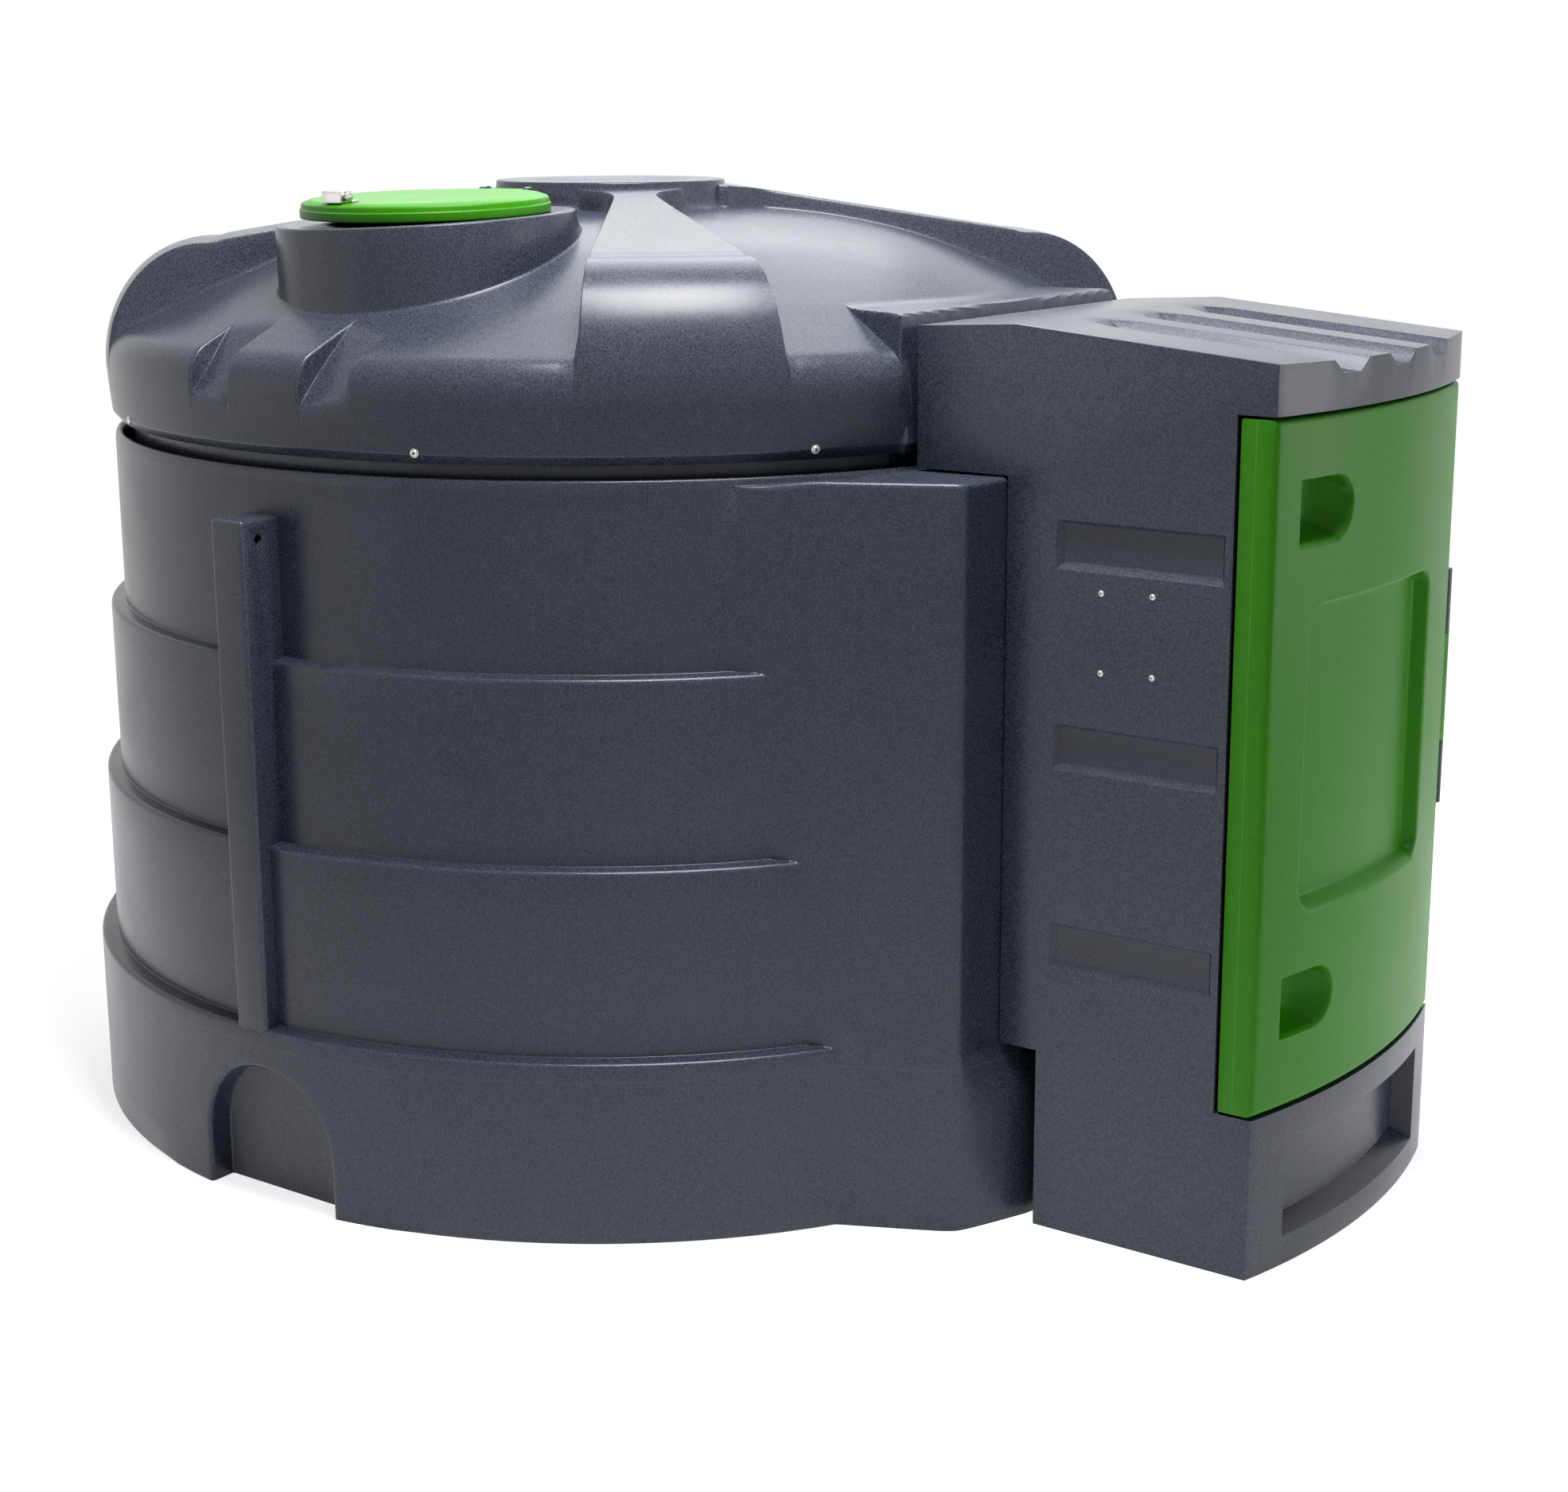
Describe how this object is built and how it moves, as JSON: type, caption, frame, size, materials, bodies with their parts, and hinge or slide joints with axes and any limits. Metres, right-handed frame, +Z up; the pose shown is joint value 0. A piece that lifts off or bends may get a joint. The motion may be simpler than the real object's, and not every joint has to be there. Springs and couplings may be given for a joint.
{
  "type": "bunded diesel tank",
  "caption": "Round bunded diesel tank: stepped outer bund, inner tank with ribbed dome and hinged manhole lid, and a front dispensing cabinet with a hinged door.",
  "frame": {"origin": "on the ground, on the vertical axis of the round tank", "axes": "+Z up, +X towards the dispensing cabinet's door, +Y to the right of the tank seen from behind it"},
  "size_m": [2.914, 2.3, 1.8987],
  "materials": {
    "polyethylene_grey": "satin, rotomoulded, finely speckled",
    "polyethylene_green": "smooth, semi-gloss",
    "stainless_steel": "brushed"
  },
  "bodies": {
    "tank": {"bund_corner_left": "polyethylene_grey", "bund_corner_right": "polyethylene_grey", "bund_floor": "polyethylene_grey", "bund_front_wall": "polyethylene_grey", "bund_wall_left_front": "polyethylene_grey", "bund_wall_left_post": "polyethylene_grey", "bund_wall_left_rear": "polyethylene_grey", "bund_wall_rear": "polyethylene_grey", "bund_wall_right_front": "polyethylene_grey", "bund_wall_right_post": "polyethylene_grey", "bund_wall_right_rear": "polyethylene_grey", "cabinet_back_wall": "polyethylene_grey", "cabinet_floor": "polyethylene_grey", "cabinet_left_wall": "polyethylene_grey", "cabinet_plinth": "polyethylene_grey", "cabinet_right_wall": "polyethylene_grey", "cabinet_roof": "polyethylene_grey", "dome": "polyethylene_grey", "door_hinge_pin": "stainless_steel", "hinge_lug_lower": "polyethylene_grey", "hinge_lug_upper": "polyethylene_grey", "lid_ear_left": "polyethylene_grey", "lid_ear_right": "polyethylene_grey", "lid_hinge_pin": "stainless_steel", "shoulder_top_left": "polyethylene_grey", "shoulder_top_right": "polyethylene_grey", "tank_floor": "polyethylene_grey", "tank_wall_front": "polyethylene_grey", "tank_wall_left": "polyethylene_grey", "tank_wall_left_front": "polyethylene_grey", "tank_wall_left_rear": "polyethylene_grey", "tank_wall_rear": "polyethylene_grey", "tank_wall_right": "polyethylene_grey", "tank_wall_right_front": "polyethylene_grey", "tank_wall_right_rear": "polyethylene_grey"},
    "door": {"door": "polyethylene_green"},
    "lid": {"manhole_lid": "polyethylene_green", "lid_lock": "stainless_steel"}
  },
  "joints": [
    {"name": "door_hinge", "type": "hinge", "parent": "tank", "child": "door", "pos_m": [1.7, 0.405, 0.9465], "axis": [0, 0, 1], "range_deg": [0, 110]},
    {"name": "lid_hinge", "type": "hinge", "parent": "tank", "child": "lid", "pos_m": [0, -0.35335, 1.87357], "axis": [-1, 0, 0], "range_deg": [0, 100]}
  ]
}
